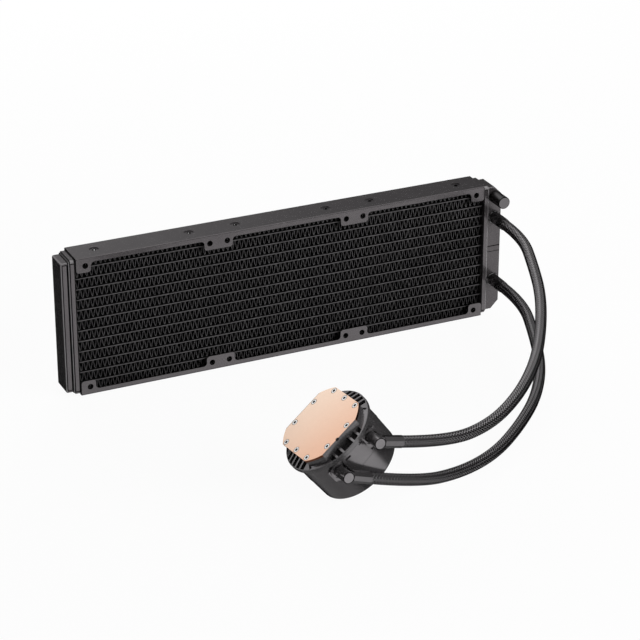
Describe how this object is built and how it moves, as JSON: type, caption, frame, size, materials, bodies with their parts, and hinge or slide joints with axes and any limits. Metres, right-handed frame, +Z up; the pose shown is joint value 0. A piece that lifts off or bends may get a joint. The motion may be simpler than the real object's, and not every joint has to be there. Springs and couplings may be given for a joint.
{
  "type": "all in one liquid cooler",
  "caption": "Closed-loop liquid cooler: long finned radiator on its edge, round pump block with a copper cold plate, and braided hoses on swivel elbows.",
  "frame": {"origin": "centre of the bottom channel's outer face, at floor level, where the bottom side holes are centred", "axes": "+X along the radiator towards its port tank, +Y towards the radiator's rear face, +Z up along the radiator's height as it stands on its long edge"},
  "size_m": [0.3899, 0.2984, 0.1185],
  "materials": {
    "frame_paint": "matte black powder coat",
    "tank_paint": "matte black powder coat",
    "core_paint": "thin satin black paint",
    "fin_paint": "thin satin black paint",
    "port_paint": "satin black",
    "sleeve_paint": "satin black anodised",
    "copper": "bare copper, finely brushed",
    "screw_steel": "zinc plated",
    "shaft_steel": "polished",
    "core_steel": "laminated sheet",
    "coil_copper": "enamelled copper wire",
    "magnet": "sintered magnet",
    "board": "green glass fibre board",
    "seal_rubber": "soft matte rubber",
    "inner_plastic": "moulded",
    "ring_plastic": "moulded, fine texture",
    "housing_plastic": "moulded, fine texture",
    "cap_plastic": "moulded, fine texture",
    "elbow_plastic": "satin moulded",
    "hose_braid": "rubber tube in a dark grey braided sleeve"
  },
  "bodies": {
    "cooler": {"top_channel": "frame_paint", "bottom_channel": "frame_paint", "left_header_plate": "tank_paint", "right_header_plate": "tank_paint", "left_tank": "tank_paint", "right_tank": "tank_paint", "tank_baffle": "tank_paint", "outlet_port": "port_paint", "inlet_port": "port_paint", "radiator_sleeves": "sleeve_paint", "fill_neck": "port_paint", "fill_cap": "port_paint", "cold_plate": "copper", "cold_plate_screws": "screw_steel", "cold_plate_gasket": "seal_rubber", "jet_plate": "inner_plastic", "base_ring": "ring_plastic", "pump_housing": "housing_plastic", "rotor_shaft": "shaft_steel", "isolation_cup": "inner_plastic", "stator_core": "core_steel", "stator_coils": "coil_copper", "circuit_board": "board", "pump_cap": "cap_plastic", "cable_grommet": "seal_rubber", "elbow_seals": "seal_rubber", "elbow_clips": "elbow_plastic", "upper_hose": "hose_braid", "lower_hose": "hose_braid", "flat_tube_01": "core_paint", "flat_tube_02": "core_paint", "flat_tube_03": "core_paint", "flat_tube_04": "core_paint", "flat_tube_05": "core_paint", "flat_tube_06": "core_paint", "flat_tube_07": "core_paint", "flat_tube_08": "core_paint", "flat_tube_09": "core_paint", "flat_tube_10": "core_paint", "flat_tube_11": "core_paint", "flat_tube_12": "core_paint", "fin_strip_01": "fin_paint", "fin_strip_02": "fin_paint", "fin_strip_03": "fin_paint", "fin_strip_04": "fin_paint", "fin_strip_05": "fin_paint", "fin_strip_06": "fin_paint", "fin_strip_07": "fin_paint", "fin_strip_08": "fin_paint", "fin_strip_09": "fin_paint", "fin_strip_10": "fin_paint", "fin_strip_11": "fin_paint", "fin_strip_12": "fin_paint", "fin_strip_13": "fin_paint"},
    "rotor": {"impeller": "inner_plastic", "rotor_magnet": "magnet"},
    "upper_swivel": {"upper_elbow": "elbow_plastic", "upper_elbow_sleeve": "sleeve_paint"},
    "lower_swivel": {"lower_elbow": "elbow_plastic", "lower_elbow_sleeve": "sleeve_paint"}
  },
  "joints": [
    {"name": "rotor_spin", "type": "hinge", "parent": "cooler", "child": "rotor", "pos_m": [-0.06292, -0.2388, 0.04243], "axis": [0.6165, -0.0401, -0.7863], "continuous": true},
    {"name": "upper_elbow_swivel", "type": "hinge", "parent": "cooler", "child": "upper_swivel", "pos_m": [-0.04859, -0.26777, 0.05527], "axis": [0.0412, -0.9957, 0.0831], "range_deg": [-20, 20], "deforming": ["upper_hose"]},
    {"name": "lower_elbow_swivel", "type": "hinge", "parent": "cooler", "child": "lower_swivel", "pos_m": [-0.07486, -0.27056, 0.03482], "axis": [0.0412, -0.9957, 0.0831], "range_deg": [-20, 20], "deforming": ["lower_hose"]}
  ]
}
